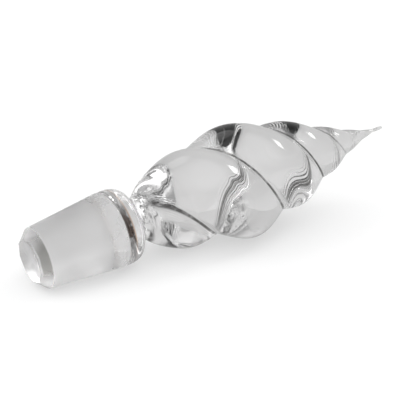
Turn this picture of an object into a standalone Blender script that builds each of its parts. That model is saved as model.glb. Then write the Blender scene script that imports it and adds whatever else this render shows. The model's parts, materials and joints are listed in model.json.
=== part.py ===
"""A twisted glass bottle stopper, lying on its side.

The stopper is drawn standing on its plug, with its axis along +Z. Two empties then place it: "finial"
tilts the twisted end a little away from the plug's axis, as hand-set glass is, and "stopper" lays the
whole down until the plug's rim and two turns of the finial share one floor. Lengths are in metres.
"""

import math

import bmesh
import bpy
import numpy as np
from mathutils import Euler, Matrix, Quaternion, Vector

MM = 0.001

# Plug: a ground taper with a polished chamfer at its small end.
END_RADIUS = 6.2 * MM
SMALL_RADIUS = 8.5 * MM
LARGE_RADIUS = 10.7 * MM
CHAMFER_TOP = 2.6 * MM
GROUND_TOP = 24.0 * MM

# Shoulder and neck.
SHOULDER_TOP = 30.0 * MM
SHOULDER_POWER = 2.2
NECK_RADIUS = 6.2 * MM
NECK_FLARE = 0.8 * MM

# Finial: two strands twisted round each other, right-handed from the neck to the point.
# Heights are along the finial's own axis, which leaves the plug's axis at PIVOT.
STRANDS = 2
PIVOT = 31.8 * MM
NECK_TOP = 34.5 * MM
WIDEST = 64.1 * MM
STRAND_TOP = 111.0 * MM
POINT = 118.8 * MM
FINIAL_RADIUS = 16.8 * MM
RISE_POWER = 0.85
FALL_POWER = 1.62
GROOVE = 0.36
GROOVE_AT_POINT = 0.08
POINT_RADIUS = 0.5 * MM
LEAN = math.radians(4.2)
LEAN_TOWARDS = math.radians(-107.6)

# Twist: the turns shorten in step with the distance to a virtual apex beyond the point.
APEX = 123.9 * MM
TWIST_START = math.radians(-78.8)
TWIST_RATE = 7.71
TWIST_SWELL = math.radians(24.2)

# How the stopper lies: the slope of its axis against the floor.
LIE_SLOPE = math.radians(6.3)

# Working values.
GAP = 0.3 * MM
ROUND_STEPS = 40
ARC_STEPS = 14
FLAT_STEPS = 6
STATION_TURN = math.radians(12.0)


def clear_scene():
    """Start from nothing, whatever the opened file holds."""
    for old in list(bpy.data.objects):
        bpy.data.objects.remove(old, do_unlink=True)


def make_material(name, colour, roughness):
    """Solid glass of one tint and one surface roughness."""
    material = bpy.data.materials.new(name)
    material.use_nodes = True
    shader = material.node_tree.nodes["Principled BSDF"]
    shader.inputs["Base Color"].default_value = (*colour, 1.0)
    shader.inputs["Metallic"].default_value = 0.0
    shader.inputs["Roughness"].default_value = roughness
    shader.inputs["IOR"].default_value = 1.5
    shader.inputs["Transmission Weight"].default_value = 1.0
    return material


def add_object(name, data, parent, colour, roughness):
    """Link a named object into the stopper's collection, under one of its two empties."""
    piece = bpy.data.objects.new(name, data)
    PARTS.objects.link(piece)
    piece.parent = parent
    data.materials.append(make_material(name + "_glass", colour, roughness))
    return piece


def add_empty(name, parent=None):
    """A frame that other pieces hang from."""
    empty = bpy.data.objects.new(name, None)
    PARTS.objects.link(empty)
    empty.parent = parent
    return empty


def turned(name, profile, parent, colour, roughness):
    """Turn a profile of (radius, height) points, from the top centre down to the bottom centre, round +Z."""
    mesh = bpy.data.meshes.new(name)
    edges = [(i, i + 1) for i in range(len(profile) - 1)]
    mesh.from_pydata([(r, 0.0, z) for r, z in profile], edges, [])
    piece = add_object(name, mesh, parent, colour, roughness)
    screw = piece.modifiers.new("Turn", "SCREW")
    screw.steps = ROUND_STEPS
    screw.render_steps = ROUND_STEPS
    screw.use_merge_vertices = True
    screw.merge_threshold = 0.00001
    screw.use_smooth_shade = True
    return piece


def finial_radius(height):
    """Outer radius of the twisted end: a powered sine up to the widest turn, a powered cosine to the point."""
    rise = np.clip((height - PIVOT) / (WIDEST - PIVOT), 0.0, 1.0)
    fall = np.clip((height - WIDEST) / (POINT - WIDEST), 0.0, 1.0)
    swelling = NECK_RADIUS + (FINIAL_RADIUS - NECK_RADIUS) * np.sin(rise * math.pi / 2) ** RISE_POWER
    drawing = FINIAL_RADIUS * np.cos(fall * math.pi / 2) ** FALL_POWER
    return np.where(height < WIDEST, swelling, drawing)


def twist_angle(height):
    """Angle of the first strand's middle round the axis: a logarithm towards the apex, with a half sine on it."""
    share = (height - PIVOT) / (POINT - PIVOT)
    return TWIST_START + TWIST_RATE * np.log((APEX - PIVOT) / (APEX - height)) + TWIST_SWELL * np.sin(math.pi * share)


def strand_stations(bottom, top):
    """Heights along a strand, an equal small turn apart, so that short turns get as many as long ones."""
    fine = np.linspace(bottom, top, 4000)
    angles = twist_angle(fine)
    count = math.ceil((angles[-1] - angles[0]) / STATION_TURN)
    return np.interp(np.linspace(angles[0], angles[-1], count + 1), angles, fine)


def groove_share(height):
    """How far each disc stands off the axis, as a share of its radius: it lessens evenly from neck to point."""
    return GROOVE + (GROOVE_AT_POINT - GROOVE) * (height - PIVOT) / (POINT - PIVOT)


def strand_section(radius, groove):
    """A disc cut off by a flat half a gap from the axis: (outwards, sideways) points, anticlockwise."""
    disc = radius / (1.0 + groove)
    centre = disc * groove
    flat = GAP / 2
    half_width = math.sqrt(disc**2 - (centre - flat) ** 2)
    reach = math.atan2(half_width, flat - centre)
    arc = np.linspace(-reach, reach, ARC_STEPS + 1)
    side = np.linspace(half_width, -half_width, FLAT_STEPS + 1)[1:-1]
    outwards = np.concatenate([centre + disc * np.cos(arc), np.full(FLAT_STEPS - 1, flat)])
    sideways = np.concatenate([disc * np.sin(arc), side])
    return outwards, sideways


def strand(name, turn, parent, colour, roughness):
    """Loft one strand: each station is a cut disc of that height's radius, turned by the twist.

    The gap between the two flats stays the same while the disc grows and shrinks, so the sections are
    unlike, and each flat's triangles run along the diagonal that falls back from the other strand.
    """
    heights = strand_stations(NECK_TOP + GAP, STRAND_TOP)
    mesh = bmesh.new()
    rings = []
    for height in heights:
        outwards, sideways = strand_section(float(finial_radius(height)), groove_share(height))
        angle = float(twist_angle(height)) + turn
        x = outwards * math.cos(angle) - sideways * math.sin(angle)
        y = outwards * math.sin(angle) + sideways * math.cos(angle)
        rings.append([mesh.verts.new((px, py, height - PIVOT)) for px, py in zip(x, y)])
    count = len(rings[0])
    for low, high in zip(rings, rings[1:]):
        for i in range(ARC_STEPS):
            mesh.faces.new((low[i], low[i + 1], high[i]))
            mesh.faces.new((low[i + 1], high[i + 1], high[i]))
        for i in range(ARC_STEPS, count):
            j = (i + 1) % count
            mesh.faces.new((low[i], low[j], high[j]))
            mesh.faces.new((low[i], high[j], high[i]))
    mesh.faces.new(list(reversed(rings[0])))
    mesh.faces.new(rings[-1])
    data = bpy.data.meshes.new(name)
    mesh.to_mesh(data)
    mesh.free()
    data.shade_smooth()
    data.set_sharp_from_angle(angle=math.radians(40.0))
    return add_object(name, data, parent, colour, roughness)


def ground_plug(parent):
    """The taper that seats in a bottle's mouth, with its chamfer and flat end."""
    profile = [
        (0.0, GROUND_TOP),
        (LARGE_RADIUS, GROUND_TOP),
        (SMALL_RADIUS, CHAMFER_TOP),
        (END_RADIUS, 0.0),
        (0.0, 0.0),
    ]
    return turned("ground_plug", profile, parent, (0.88, 0.89, 0.89), 0.3)


def shoulder(parent):
    """The polished collar above the ground zone: a superellipse from the plug's rim in to the neck."""
    bottom = GROUND_TOP + GAP
    share = np.linspace(0.0, 1.0, 13)
    inner = NECK_RADIUS + NECK_FLARE
    radius = inner + (LARGE_RADIUS - inner) * (1.0 - share**SHOULDER_POWER) ** (1.0 / SHOULDER_POWER)
    height = bottom + (SHOULDER_TOP - bottom) * share
    side = [(float(r), float(z)) for r, z in zip(radius[::-1], height[::-1])]
    profile = [(0.0, SHOULDER_TOP), *side, (0.0, bottom)]
    return turned("shoulder", profile, parent, (0.95, 0.96, 0.96), 0.02)


def neck(parent, finial_direction):
    """The waist: a tube of changing radius along a short bend from the plug's axis to the finial's."""
    start = Vector((0.0, 0.0, SHOULDER_TOP + GAP))
    bend = Vector((0.0, 0.0, PIVOT))
    end = bend + finial_direction * (NECK_TOP - PIVOT)
    curve = bpy.data.curves.new("neck", "CURVE")
    curve.dimensions = "3D"
    curve.bevel_depth = NECK_RADIUS
    curve.bevel_resolution = 8
    curve.use_fill_caps = True
    steps = 8
    spline = curve.splines.new("POLY")
    spline.points.add(steps)
    for i, point in enumerate(spline.points):
        share = i / steps
        place = start * (1 - share) ** 2 + bend * 2 * share * (1 - share) + end * share**2
        point.co = (*place, 1.0)
        flare = NECK_FLARE * (2 * share - 1) ** 2
        point.radius = (NECK_RADIUS + flare) / NECK_RADIUS
    spline.use_smooth = True
    return add_object("neck", curve, parent, (0.95, 0.96, 0.96), 0.02)


def drawn_tip(parent):
    """The point that both strands are drawn into: a cone that ends in a small ball."""
    bottom = STRAND_TOP + GAP
    base = float(finial_radius(bottom)) * 0.9
    cone = np.linspace(0.0, 1.0, 5)
    ball = np.linspace(0.0, math.pi / 2, 5)
    centre = POINT - POINT_RADIUS
    side = [(float(POINT_RADIUS + (base - POINT_RADIUS) * (1 - s)), float(bottom + (centre - bottom) * s)) for s in cone]
    cap = [(float(POINT_RADIUS * math.cos(a)), float(centre + POINT_RADIUS * math.sin(a))) for a in ball[1:-1]]
    outline = [(0.0, bottom), *side, *cap, (0.0, POINT)]
    profile = [(r, z - PIVOT) for r, z in reversed(outline)]
    return turned("drawn_tip", profile, parent, (0.95, 0.96, 0.96), 0.02)


def set_on_floor(stopper):
    """Move the stopper so that its lowest point is at z 0 and its box is centred on the origin."""
    bpy.context.view_layer.update()
    graph = bpy.context.evaluated_depsgraph_get()
    points = []
    for piece in PARTS.objects:
        if piece.type == "EMPTY":
            continue
        shown = piece.evaluated_get(graph)
        data = shown.to_mesh()
        points.extend(piece.matrix_world @ vertex.co for vertex in data.vertices)
        shown.to_mesh_clear()
    spread = np.array([tuple(point) for point in points])
    low = spread.min(axis=0)
    high = spread.max(axis=0)
    stopper.location = Vector((-(low[0] + high[0]) / 2, -(low[1] + high[1]) / 2, -low[2]))
    bpy.context.view_layer.update()


clear_scene()
PARTS = bpy.data.collections.new("glass_stopper")
bpy.context.scene.collection.children.link(PARTS)

stopper_frame = add_empty("stopper")
stopper_frame.rotation_euler = Euler((0.0, math.pi / 2 - LIE_SLOPE, 0.0))

lean_axis = Vector((-math.sin(LEAN_TOWARDS), math.cos(LEAN_TOWARDS), 0.0))
finial_frame = add_empty("finial", stopper_frame)
finial_frame.location = (0.0, 0.0, PIVOT)
finial_frame.rotation_mode = "QUATERNION"
finial_frame.rotation_quaternion = Quaternion(lean_axis, LEAN)
finial_axis = Matrix.Rotation(LEAN, 3, lean_axis) @ Vector((0.0, 0.0, 1.0))

ground_plug(stopper_frame)
shoulder(stopper_frame)
neck(stopper_frame, finial_axis)
for index in range(STRANDS):
    strand("strand_" + "ab"[index], index * 2 * math.pi / STRANDS, finial_frame, (0.95, 0.96, 0.96), 0.02)
drawn_tip(finial_frame)
set_on_floor(stopper_frame)
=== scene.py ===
"""A twisted glass bottle stopper, lying on a pale floor.

The stopper is one piece of clear glass, so one closed surface stands for all of its zones. Its outline is a
profile of (radius, height) points carried up a centreline that bends once, at the neck. Above the neck the
round section turns into two strands twisted round each other. Each point of the surface also keeps how much
painted shade it gets in a groove and how far it is from one, and the polished glass is marked by those two:
painted shade by the first, draw lines by the second. Lengths are in metres, and heights run along the plug's
axis from its flat end.
"""

import json
import math

import bpy
import numpy as np
from mathutils import Matrix, Vector


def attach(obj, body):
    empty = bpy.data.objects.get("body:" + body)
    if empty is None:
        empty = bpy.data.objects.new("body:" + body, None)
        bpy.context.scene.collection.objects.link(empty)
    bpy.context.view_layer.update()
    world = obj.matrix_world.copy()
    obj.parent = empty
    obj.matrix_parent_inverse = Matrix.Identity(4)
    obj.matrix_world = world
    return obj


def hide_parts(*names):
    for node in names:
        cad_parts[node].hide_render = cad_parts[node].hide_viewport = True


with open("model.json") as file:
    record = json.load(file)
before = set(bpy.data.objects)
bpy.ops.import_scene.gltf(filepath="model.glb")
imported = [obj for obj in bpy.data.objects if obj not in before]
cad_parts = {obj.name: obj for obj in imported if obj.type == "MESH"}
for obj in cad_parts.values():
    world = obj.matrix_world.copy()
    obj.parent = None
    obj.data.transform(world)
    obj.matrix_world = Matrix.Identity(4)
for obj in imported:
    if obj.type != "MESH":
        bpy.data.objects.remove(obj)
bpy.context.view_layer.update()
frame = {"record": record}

MM = 0.001

# Where the stopper lies: the middle of its flat end, and the slope of its axis.
END_MOUNT = frame["record"]["mounts"][0]
END_CENTRE = np.array(END_MOUNT["pos_m"])
PLUG_AXIS = -np.array(END_MOUNT["axis"]) / np.linalg.norm(END_MOUNT["axis"])
SIDE_AXIS = np.array([0.0, 1.0, 0.0])
DOWN_AXIS = np.cross(SIDE_AXIS, PLUG_AXIS)

# Plug.
END_RADIUS = 6.2 * MM
SMALL_RADIUS = 8.5 * MM
LARGE_RADIUS = 10.7 * MM
CHAMFER_TOP = 2.6 * MM
GROUND_TOP = 24.0 * MM
DIMPLE = 0.25 * MM  # depth of the hollow in the flat end
EDGE_HEIGHT = 0.07 * MM  # the rounding between the flat end and the chamfer
FACETS = 9  # flats round the foot of the chamfer, fading out towards its top
FACETS_FULL = 0.1 * CHAMFER_TOP

# Shoulder and neck.
RING_WIDTH = 1.3 * MM  # the shallow ring groove above the ground side
RING_DEPTH = 0.35 * MM
SHOULDER_TOP = 30.4 * MM
SHOULDER_POWER = 3.0
NECK_RADIUS = 6.16 * MM

# Finial.
PIVOT = 31.8 * MM
RISE_START = 34.0 * MM
WIDEST = 64.1 * MM
POINT = 118.8 * MM
FINIAL_RADIUS = 16.79 * MM
RISE_POWER = 0.70
FALL_POWER = 1.62
POINT_RADIUS = 0.5 * MM
LEAN = math.radians(4.23)
LEAN_TOWARDS = math.radians(-107.6)  # from straight down, towards +Y
BEND_LENGTH = 6.0 * MM

# Twist.
APEX = 123.9 * MM
TWIST_START = math.radians(-78.8)
TWIST_RATE = 7.707
TWIST_SWELL = math.radians(24.2)
GROOVE = 0.359  # distance of each strand's middle from the centreline, over the strand's radius
GROOVE_AT_POINT = 0.076
LOBES_START = 33.0 * MM
LOBES_FULL = 38.0 * MM
LATE_START = 9.0 * MM  # how much higher one of the two grooves starts
LATE_FULL = 24.0 * MM  # how much higher it reaches its depth
LATE_SIDE = (-0.5, 0.5)  # sines of the angles between which that lateness comes in

# Painted shade in the polished glass: dark creases, the flat end's rim and the neck's root; draw lines in
# relief.
CREASE_WIDTH = 0.9 * MM
CREASE_FLARE = 1.3
FLARE_END = 46.0 * MM
FADE_START = 88.0 * MM
FADE_END = 112.0 * MM
RIM_WIDTH = 0.22 * MM
RIM_SHARE = 0.5
ROOT_WIDTH = 0.8 * MM
ROOT_SIDE = (-0.2, 0.7)  # cosines of the angles from straight down between which the root's mark comes in
CREASE_RANGE = (0.1, 0.8)
RIDGE_PITCH = 0.95 * MM
RIDGE_HEIGHT = 0.045 * MM
RIDGES_FULL = 1.5 * MM
RIDGES_END = 5.0 * MM

# The dark band of painted shade above the ground side, with a painted warm edge at its top. It is faint on the
# underside and a little weaker along its crest. The pairs are distances below the axis over which it gets
# stronger.
BAND_START = 24.4 * MM
BAND_END = 26.3 * MM
BAND_EDGE = 0.25 * MM
BAND_UNDERSIDE = (5.0 * MM, -1.0 * MM)
BAND_UNDERSIDE_SHARE = 0.3
BAND_CREST = (-11.0 * MM, -7.0 * MM)
BAND_CREST_SHARE = 0.6

# The grey painted shade on the chamfer, on its side towards -Y and its upper side. The pairs are the heights,
# the distances towards +Y and the distances below the axis over which it comes in or goes out.
SHADE_BOTTOM = (0.3 * MM, 0.6 * MM)
SHADE_TOP = (2.7 * MM, 2.3 * MM)
SHADE_SIDE = (-0.96 * MM, -5.96 * MM)
SHADE_BELOW = (5.0 * MM, 0.0 * MM)

# Glass colours: light through clear glass, and the tints of the painted shade marks.
CLEAR = (0.985, 0.98, 0.98)
PAINTED_CHAMFER_SHADE = (0.22, 0.215, 0.20)
PAINTED_WARM_EDGE = (0.62, 0.30, 0.14)
PAINTED_BAND_SHADE = (0.012, 0.006, 0.004)
PAINTED_CREASE_SHADE = (0.02, 0.019, 0.018)
GROUND = (0.905, 0.90, 0.90)
GROUND_WORN = (0.975, 0.97, 0.97)
SHADOW_TINT = (0.75, 0.75, 0.75)

# Fine structure of the glass. Noise scales are in features per metre.
# The patches make the painted shade of the dark band and the creases uneven.
PATCH_SCALE = 420.0
PATCH_RANGE = (0.32, 0.5)
PATCH_SHARE = 0.7
WAVE_SCALE = 160.0
WAVE_HEIGHT = 0.015 * MM
GRAIN_SCALE = 3500.0
GRAIN_STRENGTH = 0.35
GRAIN_HEIGHT = 0.03 * MM
CLOUD_SCALE = 260.0
CLOUD_RANGE = (0.3, 0.7)
GROUND_ROUGHNESS = 0.35
CLOUD_SMOOTHER = 0.07
CLOUD_ROUGHER = 0.05
WORN_START = 19.3 * MM
WORN_FULL = 19.7 * MM
WORN_SMOOTHER = 0.06
GLASS_IOR = 1.5

# Points along each stretch of the profile, and round the section. The pairs are the shares of the end's radius
# or of the stretch that the points cover, which leaves room for the shading to turn at each edge.
FACE_SHARE = 0.97
EDGE_SHARES = (0.98, 1.01)
CHAMFER_SHARES = (0.05, 0.97)
RING_SHARES = (0.05, 1.0)
POINT_GAP = 0.02 * MM
FACE_POINTS = 12
EDGE_POINTS = 5
CHAMFER_POINTS = 10
GROUND_POINTS = 30
RING_POINTS = 12
SHOULDER_POINTS = 34
FINIAL_POINTS = 290
TURN_SHARE = 0.35  # share of the outer radius at which turns count when the finial's points are spaced
FINE_POINTS = 6000
CENTRE_POINTS = 4000
ROUND_STEPS = 256

# Studio.
FLOOR_REACH = 6
PAPER = 0.9
# Painted shade: the floor's colour to every ray but the camera's own.
PAPER_THROUGH_GLASS = 0.56
PAPER_ROUGHNESS = 0.9
SKY_STRENGTH = 0.38
EXPOSURE = -0.15

# Camera: its directions, its place in mm from the middle of the flat end, and its lens in mm.
CAMERA_RIGHT = (0.82085, -0.57115, -0.00017)
CAMERA_UP = (0.2268, 0.32595, 0.91778)
CAMERA_AHEAD = (0.52413, 0.75338, -0.39711)
CAMERA_PLACE = (-105.93, -229.71, 125.18)
CAMERA_SENSOR = 36.0
CAMERA_LENS = 96.53


def smoothstep(low, high, value):
    """0 below low, 1 above high, and the cubic 3s^2 - 2s^3 between them."""
    share = np.clip((value - low) / (high - low), 0.0, 1.0)
    return share * share * (3.0 - 2.0 * share)


def finial_radius(height):
    """Outer radius: a powered sine up to the widest turn, then a powered cosine down to the point."""
    rise = np.clip((height - RISE_START) / (WIDEST - RISE_START), 0.0, 1.0)
    fall = np.clip((height - WIDEST) / (POINT - WIDEST), 0.0, 1.0)
    swelling = NECK_RADIUS + (FINIAL_RADIUS - NECK_RADIUS) * np.sin(rise * math.pi / 2) ** RISE_POWER
    drawing = FINIAL_RADIUS * np.cos(fall * math.pi / 2) ** FALL_POWER
    return np.where(height < WIDEST, swelling, drawing)


def twist_angle(height):
    """Turn of the strands: a logarithm towards the apex with a half sine added, held still below the pivot."""
    height = np.maximum(height, PIVOT)
    share = (height - PIVOT) / (POINT - PIVOT)
    tightening = TWIST_RATE * np.log((APEX - PIVOT) / (APEX - height))
    return TWIST_START + tightening + TWIST_SWELL * np.sin(math.pi * share)


def strand_outline(angle, height):
    """Radius of the outline of two overlapping discs at an angle from one strand's middle, largest radius 1."""
    groove = GROOVE + (GROOVE_AT_POINT - GROOVE) * np.clip((height - PIVOT) / (POINT - PIVOT), 0.0, 1.0)
    disc = 1.0 / (1.0 + groove)
    offset = groove * disc
    turned = np.abs((angle + math.pi / 2) % math.pi - math.pi / 2)
    return offset * np.cos(turned) + np.sqrt(disc**2 - (offset * np.sin(turned)) ** 2)


def facet_outline(angle):
    """Radius of a regular polygon with its corners on the unit circle."""
    step = 2 * math.pi / FACETS
    across = (angle % step) - step / 2
    return math.cos(step / 2) / np.cos(across)


def finial_profile():
    """The finial's outer radius, blunted to a half round at the point.

    The heights are even steps along a line that climbs and turns with the grooves.
    """
    fine = np.linspace(SHOULDER_TOP, POINT - POINT_GAP, FINE_POINTS)
    turning = finial_radius(fine) * np.gradient(twist_angle(fine)) * TURN_SHARE
    run = np.cumsum(np.hypot(np.gradient(fine), turning))
    heights = np.interp(np.linspace(run[0], run[-1], FINIAL_POINTS)[1:], run, fine)
    blunt = POINT_RADIUS * np.sqrt(np.clip((POINT - heights) / POINT_RADIUS, 0, 1))
    return np.maximum(finial_radius(heights), blunt), heights


def profile():
    """(radius, height) points from beside the middle of the flat end to the point, close together at each edge.

    The flat end sinks by (1 - share^2)^2, its edge is a parabola, the chamfer and the ground side are straight,
    the ring groove is a squared sine, and the shoulder is a superellipse that ends at the neck's radius.
    """
    share = np.linspace(0.0, 1.0, FACE_POINTS)[1:]
    parts = [(END_RADIUS * FACE_SHARE * share, DIMPLE * (1.0 - share**2) ** 2)]
    share = np.linspace(0.0, 1.0, EDGE_POINTS)
    parts.append((END_RADIUS * np.linspace(*EDGE_SHARES, EDGE_POINTS), EDGE_HEIGHT * share**2))
    share = np.linspace(*CHAMFER_SHARES, CHAMFER_POINTS)
    parts.append((END_RADIUS + (SMALL_RADIUS - END_RADIUS) * share, CHAMFER_TOP * share))
    share = np.linspace(0.0, 1.0, GROUND_POINTS)
    height = CHAMFER_TOP + (GROUND_TOP - CHAMFER_TOP) * share
    parts.append((SMALL_RADIUS + (LARGE_RADIUS - SMALL_RADIUS) * share, height))
    share = np.linspace(*RING_SHARES, RING_POINTS)
    parts.append((LARGE_RADIUS - RING_DEPTH * np.sin(math.pi * share) ** 2, GROUND_TOP + RING_WIDTH * share))
    share = np.sin(np.linspace(0.0, math.pi / 2, SHOULDER_POINTS)[1:])
    bottom = GROUND_TOP + RING_WIDTH
    rounding = (1.0 - share**SHOULDER_POWER) ** (1.0 / SHOULDER_POWER)
    height = bottom + (SHOULDER_TOP - bottom) * share
    parts.append((NECK_RADIUS + (LARGE_RADIUS - NECK_RADIUS) * rounding, height))
    parts.append(finial_profile())
    radius = np.concatenate([part[0] for part in parts])
    height = np.concatenate([part[1] for part in parts])
    return radius, height


def lean_angle(height):
    """Lean of the centreline off the plug's axis: a smooth step up to LEAN round the pivot."""
    return LEAN * smoothstep(PIVOT - BEND_LENGTH / 2, PIVOT + BEND_LENGTH / 2, height)


def centreline(height):
    """Centre, and the section's two directions, at each height.

    The centre is the running sum of short steps, each in the direction of the lean there.
    """
    lean = lean_angle(height)
    fine = np.linspace(0.0, POINT, CENTRE_POINTS)
    fine_lean = lean_angle(fine)
    step = fine[1] - fine[0]
    out = np.interp(height, fine, np.cumsum(np.sin(fine_lean)) * step)
    up = np.interp(height, fine, np.cumsum(np.cos(fine_lean)) * step - step)
    cosine, sine = math.cos(LEAN_TOWARDS), math.sin(LEAN_TOWARDS)
    lean_dir = cosine * DOWN_AXIS + sine * SIDE_AXIS
    cross_dir = -sine * DOWN_AXIS + cosine * SIDE_AXIS
    centre = END_CENTRE + np.outer(out, lean_dir) + np.outer(up, PLUG_AXIS)
    tilted = np.outer(np.cos(lean), lean_dir) - np.outer(np.sin(lean), PLUG_AXIS)
    first = cosine * tilted - sine * cross_dir
    second = sine * tilted + cosine * cross_dir
    return centre, first, second


def painted_shade_shares(radius, height, level, turned, aside, lobes):
    """How much painted shade each point gets, from 0 to 1: a bell curve exp(-(distance / width)^2) over each
    mark.

    The painted shade lies along the two grooves, wider next to the neck and faded out towards the point, at the
    rim of the flat end, and on the underside of the neck where the finial starts.
    """
    width = CREASE_WIDTH * (1.0 + CREASE_FLARE * (1.0 - smoothstep(RISE_START, FLARE_END, level)))
    fade = 1.0 - smoothstep(FADE_START, FADE_END, level)
    grooves = lobes * fade * np.exp(-((aside / width) ** 2))
    rim = (height < CHAMFER_TOP / 2) * np.exp(-(((radius - END_RADIUS) / RIM_WIDTH) ** 2))
    under = smoothstep(*ROOT_SIDE, np.cos(turned))
    root = under * np.exp(-(((level - RISE_START) / ROOT_WIDTH) ** 2))
    return np.maximum(np.maximum(grooves, RIM_SHARE * rim[:, None]), root)


def stopper_surface():
    """Rings of points, the height of each ring, and the painted shade share and crease distance of each point.

    A point is centre(height) + radius * outline(angle), in the direction of its angle turned by the twist. The
    outline is a facet polygon on the chamfer, a circle on the plug, and the two strands on the finial. The
    grooves lie a quarter turn to each side of a strand's middle, and the first of them starts late. The crease
    distance is the arc to the nearest groove, with RIDGES_END added where there is no groove.
    """
    radius, height = profile()
    angle = np.linspace(0.0, 2 * math.pi, ROUND_STEPS, endpoint=False)
    level, round_ = np.meshgrid(height, angle, indexing="ij")
    late = smoothstep(*LATE_SIDE, np.sin(round_))
    lobes = smoothstep(LOBES_START + late * LATE_START, LOBES_FULL + late * LATE_FULL, level)
    chamfered = 1.0 - smoothstep(FACETS_FULL, CHAMFER_TOP, level)
    outline = 1.0 + lobes * (strand_outline(round_, level) - 1.0) + chamfered * (facet_outline(round_) - 1.0)
    turned = round_ + twist_angle(level)
    centre, first, second = centreline(height)
    reach = (radius[:, None] * outline)[..., None]
    across = np.cos(turned)[..., None] * first[:, None, :] + np.sin(turned)[..., None] * second[:, None, :]
    aside = np.abs(round_ % math.pi - math.pi / 2) * radius[:, None]
    shares = painted_shade_shares(radius, height, level, turned, aside, lobes)
    distances = aside + (1.0 - lobes) * RIDGES_END
    return centre[:, None, :] + reach * across, height, shares, distances


def closed_mesh(name, rings, start, end):
    """A mesh over rings of points, closed by a fan round a pole at each end."""
    rows, columns = rings.shape[:2]
    points = np.concatenate([rings.reshape(-1, 3), [start, end]])
    row, column = np.meshgrid(np.arange(rows - 1), np.arange(columns), indexing="ij")
    low = row * columns + column
    low_next = row * columns + (column + 1) % columns
    quads = np.stack([low, low_next, low_next + columns, low + columns], axis=-1).reshape(-1, 4)
    around = np.arange(columns)
    first_pole = rows * columns
    start_fan = np.stack([(around + 1) % columns, around, np.full(columns, first_pole)], axis=-1)
    top = (rows - 1) * columns
    end_fan = np.stack([top + around, top + (around + 1) % columns, np.full(columns, first_pole + 1)], axis=-1)
    mesh = bpy.data.meshes.new(name)
    mesh.from_pydata(points.tolist(), [], quads.tolist() + start_fan.tolist() + end_fan.tolist())
    mesh.validate()
    return mesh


def node_math(tree, operation, first, second=0.0):
    """A Math node; each operand is a number or a socket."""
    node = tree.nodes.new("ShaderNodeMath")
    node.operation = operation
    for socket, value in zip(node.inputs, (first, second)):
        if isinstance(value, float):
            socket.default_value = value
        else:
            tree.links.new(value, socket)
    return node.outputs[0]


def node_product(tree, first, *others):
    """All the operands multiplied together."""
    for other in others:
        first = node_math(tree, "MULTIPLY", first, other)
    return first


def node_step(tree, value, low, high, to_low=0.0, to_high=1.0):
    """A smooth step of a socket from low to high; low may be the larger one, for a step down."""
    node = tree.nodes.new("ShaderNodeMapRange")
    node.interpolation_type = "SMOOTHSTEP"
    tree.links.new(value, node.inputs["Value"])
    for name, number in zip(("From Min", "From Max", "To Min", "To Max"), (low, high, to_low, to_high)):
        node.inputs[name].default_value = number
    return node.outputs["Result"]


def node_dot(tree, place, vector):
    """The dot product of a place socket and a fixed vector."""
    node = tree.nodes.new("ShaderNodeVectorMath")
    node.operation = "DOT_PRODUCT"
    tree.links.new(place, node.inputs[0])
    node.inputs[1].default_value = vector
    return node.outputs["Value"]


def object_place(tree):
    """The shaded place in the object's own coordinates."""
    return tree.nodes.new("ShaderNodeTexCoord").outputs["Object"]


def node_along(tree, vector):
    """How far the shaded place lies along a direction from the middle of the flat end, in metres."""
    along = node_dot(tree, object_place(tree), vector)
    return node_math(tree, "SUBTRACT", along, float(np.dot(END_CENTRE, vector)))


def node_noise(tree, scale):
    """Soft noise on object coordinates, with a number of features per metre."""
    node = tree.nodes.new("ShaderNodeTexNoise")
    tree.links.new(object_place(tree), node.inputs["Vector"])
    node.inputs["Scale"].default_value = scale
    return node.outputs["Fac"]


def node_attribute(tree, name):
    """A value kept at each point of the mesh."""
    node = tree.nodes.new("ShaderNodeAttribute")
    node.attribute_name = name
    return node.outputs["Fac"]


def node_tint(tree, base, share, colour):
    """The base colour (a socket or three numbers) with a share of another colour mixed over it."""
    node = tree.nodes.new("ShaderNodeMix")
    node.data_type = "RGBA"
    tree.links.new(share, node.inputs[0])
    if isinstance(base, tuple):
        node.inputs[6].default_value = (*base, 1.0)
    else:
        tree.links.new(base, node.inputs[6])
    node.inputs[7].default_value = (*colour, 1.0)
    return node.outputs[2]


def add_bump(tree, shader, height, strength, distance):
    """A relief in the surface: a height socket through a Bump node into the shader's Normal."""
    bump = tree.nodes.new("ShaderNodeBump")
    bump.inputs["Strength"].default_value = strength
    bump.inputs["Distance"].default_value = distance
    tree.links.new(height, bump.inputs["Height"])
    tree.links.new(bump.outputs["Normal"], shader.inputs["Normal"])


def glass(name, colour, roughness):
    """Solid glass. Light on its way to the floor passes it straight, dimmed, so the shadow is even and soft."""
    material = bpy.data.materials.new(name)
    material.use_nodes = True
    tree = material.node_tree
    shader = tree.nodes["Principled BSDF"]
    shader.inputs["Base Color"].default_value = (*colour, 1.0)
    shader.inputs["Roughness"].default_value = roughness
    shader.inputs["IOR"].default_value = GLASS_IOR
    shader.inputs["Transmission Weight"].default_value = 1.0
    path = tree.nodes.new("ShaderNodeLightPath")
    straight = node_math(tree, "MAXIMUM", path.outputs["Is Shadow Ray"], path.outputs["Is Diffuse Ray"])
    dimmed = tree.nodes.new("ShaderNodeBsdfTransparent")
    dimmed.inputs["Color"].default_value = (*SHADOW_TINT, 1.0)
    choice = tree.nodes.new("ShaderNodeMixShader")
    tree.links.new(straight, choice.inputs[0])
    tree.links.new(shader.outputs[0], choice.inputs[1])
    tree.links.new(dimmed.outputs[0], choice.inputs[2])
    tree.links.new(choice.outputs[0], tree.nodes["Material Output"].inputs["Surface"])
    return material, tree, shader


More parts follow.
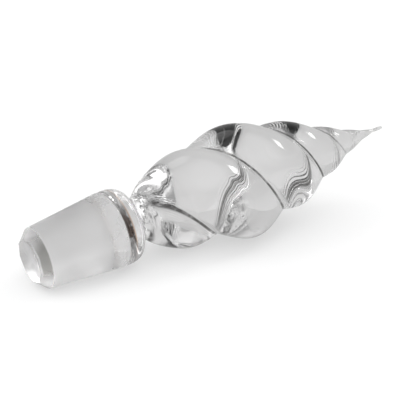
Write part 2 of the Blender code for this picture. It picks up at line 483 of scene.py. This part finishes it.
def polished_glass():
    """Clear glass with painted shade (the dark band and its warm edge, the chamfer's shade, the creases) and
    draw lines.
    """
    material, tree, shader = glass("polished_glass", CLEAR, 0.0)
    along = node_along(tree, PLUG_AXIS)
    below = node_along(tree, DOWN_AXIS)
    patches = node_step(tree, node_noise(tree, PATCH_SCALE), *PATCH_RANGE, PATCH_SHARE, 1.0)
    around = node_product(
        tree,
        node_step(tree, below, *BAND_UNDERSIDE, BAND_UNDERSIDE_SHARE, 1.0),
        node_step(tree, below, *BAND_CREST, BAND_CREST_SHARE, 1.0),
    )
    # Painted shade: the dark band above the ground side, then its warm edge.
    band = node_product(
        tree,
        node_step(tree, along, BAND_START - BAND_EDGE, BAND_START + BAND_EDGE),
        node_step(tree, along, BAND_END + BAND_EDGE, BAND_END - BAND_EDGE),
        around,
        patches,
    )
    warm = node_product(
        tree,
        node_step(tree, along, BAND_END - BAND_EDGE, BAND_END),
        node_step(tree, along, BAND_END + 2 * BAND_EDGE, BAND_END),
        around,
    )
    # Painted shade on the chamfer, towards -Y and its upper side.
    shade = node_product(
        tree,
        node_step(tree, along, *SHADE_BOTTOM),
        node_step(tree, along, *SHADE_TOP),
        node_step(tree, node_along(tree, SIDE_AXIS), *SHADE_SIDE),
        node_step(tree, below, *SHADE_BELOW),
    )
    # Painted shade in the creases, at the rim of the flat end and under the neck.
    share = node_attribute(tree, "painted_shade_share")
    crease = node_product(tree, node_step(tree, share, *CREASE_RANGE), patches)
    tinted = node_tint(tree, CLEAR, shade, PAINTED_CHAMFER_SHADE)
    tinted = node_tint(tree, tinted, warm, PAINTED_WARM_EDGE)
    tinted = node_tint(tree, tinted, band, PAINTED_BAND_SHADE)
    tinted = node_tint(tree, tinted, crease, PAINTED_CREASE_SHADE)
    tree.links.new(tinted, shader.inputs["Base Color"])
    distance = node_attribute(tree, "crease_distance")
    wave = node_math(tree, "SINE", node_product(tree, distance, 2 * math.pi / RIDGE_PITCH))
    ridges = node_product(tree, wave, node_step(tree, distance, RIDGES_END, RIDGES_FULL), RIDGE_HEIGHT)
    waves = node_product(tree, node_noise(tree, WAVE_SCALE), WAVE_HEIGHT)
    add_bump(tree, shader, node_math(tree, "ADD", ridges, waves), strength=1.0, distance=1.0)
    return material


def ground_glass():
    """Satin glass with fine grain, clouds of roughness, and a lighter, smoother worn stretch at its top."""
    material, tree, shader = glass("ground_glass", GROUND_WORN, GROUND_ROUGHNESS)
    worn = node_step(tree, node_along(tree, PLUG_AXIS), WORN_START, WORN_FULL)
    tree.links.new(node_tint(tree, GROUND, worn, GROUND_WORN), shader.inputs["Base Color"])
    smoothest, roughest = GROUND_ROUGHNESS - CLOUD_SMOOTHER, GROUND_ROUGHNESS + CLOUD_ROUGHER
    clouds = node_step(tree, node_noise(tree, CLOUD_SCALE), *CLOUD_RANGE, smoothest, roughest)
    smoother = node_product(tree, worn, WORN_SMOOTHER)
    tree.links.new(node_math(tree, "SUBTRACT", clouds, smoother), shader.inputs["Roughness"])
    add_bump(tree, shader, node_noise(tree, GRAIN_SCALE), strength=GRAIN_STRENGTH, distance=GRAIN_HEIGHT)
    return material


# Stopper.
rings, heights, shares, distances = stopper_surface()
start_pole = END_CENTRE + PLUG_AXIS * DIMPLE
end_pole = centreline(np.array([POINT]))[0][0]
mesh = closed_mesh("stopper_glass", rings, start_pole, end_pole)
mesh.materials.append(polished_glass())
mesh.materials.append(ground_glass())
middle = (heights[:-1] + heights[1:]) / 2
ground = (middle > CHAMFER_TOP) & (middle < GROUND_TOP)
fans = np.zeros(2 * ROUND_STEPS, np.int32)
slots = np.concatenate([np.repeat(ground.astype(np.int32), ROUND_STEPS), fans])
mesh.polygons.foreach_set("material_index", slots)
mesh.polygons.foreach_set("use_smooth", np.ones(len(slots), bool))
# Each point keeps its share of painted shade and its crease distance.
for name, values, at_poles in (("painted_shade_share", shares, 0.0), ("crease_distance", distances, RIDGES_END)):
    layer = mesh.attributes.new(name, "FLOAT", "POINT")
    layer.data.foreach_set("value", np.append(values.ravel(), [at_poles, at_poles]))
mesh.update()
stopper = bpy.data.objects.new("stopper_glass", mesh)
bpy.context.scene.collection.objects.link(stopper)
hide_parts("ground_plug", "shoulder", "neck", "strand_a", "strand_b", "drawn_tip")
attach(stopper, "root")

# Floor. It is darker to every ray but the camera's own, a painted shade that shows only through the glass.
corners = [(-FLOOR_REACH, -FLOOR_REACH, 0), (FLOOR_REACH, -FLOOR_REACH, 0)]
corners += [(FLOOR_REACH, FLOOR_REACH, 0), (-FLOOR_REACH, FLOOR_REACH, 0)]
floor_mesh = bpy.data.meshes.new("floor")
floor_mesh.from_pydata(corners, [], [(0, 1, 2, 3)])
floor = bpy.data.objects.new("floor", floor_mesh)
bpy.context.scene.collection.objects.link(floor)
paper = bpy.data.materials.new("white_paper")
paper.use_nodes = True
shader = paper.node_tree.nodes["Principled BSDF"]
shader.inputs["Roughness"].default_value = PAPER_ROUGHNESS
seen = paper.node_tree.nodes.new("ShaderNodeMapRange")
seen.inputs["To Min"].default_value = PAPER_THROUGH_GLASS
seen.inputs["To Max"].default_value = PAPER
ray = paper.node_tree.nodes.new("ShaderNodeLightPath")
paper.node_tree.links.new(ray.outputs["Is Camera Ray"], seen.inputs["Value"])
paper.node_tree.links.new(seen.outputs["Result"], shader.inputs["Base Color"])
floor_mesh.materials.append(paper)


# Light.
def direction(azimuth, elevation):
    """Unit vector towards a place in the sky; azimuth is measured from +X towards +Y, both in degrees."""
    turn, rise = math.radians(azimuth), math.radians(elevation)
    return math.cos(turn) * math.cos(rise), math.sin(turn) * math.cos(rise), math.sin(rise)


class Sky:
    """The studio round the stopper, as one node tree: pools and panels of light added to an even grey."""

    def __init__(self, name, strength):
        self.world = bpy.data.worlds.new(name)
        self.world.use_nodes = True
        self.tree = self.world.node_tree
        self.place = self.tree.nodes.new("ShaderNodeTexCoord").outputs["Generated"]
        self.total = strength

    def add(self, mask, strength):
        """More light, where the mask is."""
        light = node_math(self.tree, "MULTIPLY", mask, strength)
        self.total = node_math(self.tree, "ADD", self.total, light)

    def panel(self, azimuth, elevation, half_width, half_height, strength, soft=3.0):
        """A rectangle of light with soft edges, its sides level: sizes are angles in degrees.

        Sideways and upward distances over the forward one are compared with the tangents of those angles. The
        first step leaves out the half of the sky behind.
        """
        towards = Vector(direction(azimuth, elevation))
        sideways = Vector(direction(azimuth + 90.0, 0.0))
        upward = towards.cross(sideways)
        forward = node_dot(self.tree, self.place, towards)
        mask = node_step(self.tree, forward, 0.0, 0.05)
        for vector, half in ((sideways, half_width), (upward, half_height)):
            tangent = node_math(self.tree, "DIVIDE", node_dot(self.tree, self.place, vector), forward)
            outer, inner = math.tan(math.radians(half + soft)), math.tan(math.radians(half - soft))
            inside = node_step(self.tree, node_math(self.tree, "ABSOLUTE", tangent), outer, inner)
            mask = node_math(self.tree, "MULTIPLY", mask, inside)
        self.add(mask, strength)

    def cap(self, azimuth, elevation, radius, strength, soft):
        """A round pool of light: its radius and the width of its edge are angles in degrees."""
        nearness = node_dot(self.tree, self.place, direction(azimuth, elevation))
        low = math.cos(math.radians(min(radius + soft, 180.0)))
        high = math.cos(math.radians(max(radius - soft, 0.0)))
        self.add(node_step(self.tree, nearness, low, high), strength)

    def finish(self):
        """The sum becomes the strength of a white background."""
        back = self.tree.nodes["Background"]
        back.inputs["Color"].default_value = (1.0, 1.0, 1.0, 1.0)
        self.tree.links.new(self.total, back.inputs["Strength"])
        bpy.context.scene.world = self.world


sky = Sky("studio", SKY_STRENGTH)
sky.cap(azimuth=60.0, elevation=0.0, radius=50.0, strength=0.26, soft=15.0)
sky.cap(azimuth=235.0, elevation=60.0, radius=40.0, strength=1.45, soft=20.0)
sky.cap(azimuth=105.0, elevation=48.0, radius=14.0, strength=1.6, soft=5.0)
sky.panel(azimuth=355.0, elevation=43.0, half_width=9.0, half_height=4.5, strength=12.0)
sky.panel(azimuth=150.0, elevation=48.0, half_width=9.0, half_height=4.5, strength=10.0)
sky.finish()

bpy.context.scene.view_settings.view_transform = "Standard"
bpy.context.scene.view_settings.exposure = EXPOSURE

# Few glossy bounces, so that long chains of reflection inside the glass end dark.
bpy.context.scene.cycles.max_bounces = 32
bpy.context.scene.cycles.transmission_bounces = 32
bpy.context.scene.cycles.glossy_bounces = 6
bpy.context.scene.cycles.transparent_max_bounces = 16

# Camera.
camera_data = bpy.data.cameras.new("camera")
camera = bpy.data.objects.new("camera", camera_data)
bpy.context.scene.collection.objects.link(camera)
camera_data.sensor_width = CAMERA_SENSOR
camera_data.lens = CAMERA_LENS
place = Vector(END_CENTRE) + Vector(CAMERA_PLACE) * MM
columns = zip(CAMERA_RIGHT, CAMERA_UP, [-part for part in CAMERA_AHEAD], place)
camera.matrix_world = Matrix([*columns, (0.0, 0.0, 0.0, 1.0)])
bpy.context.scene.camera = camera
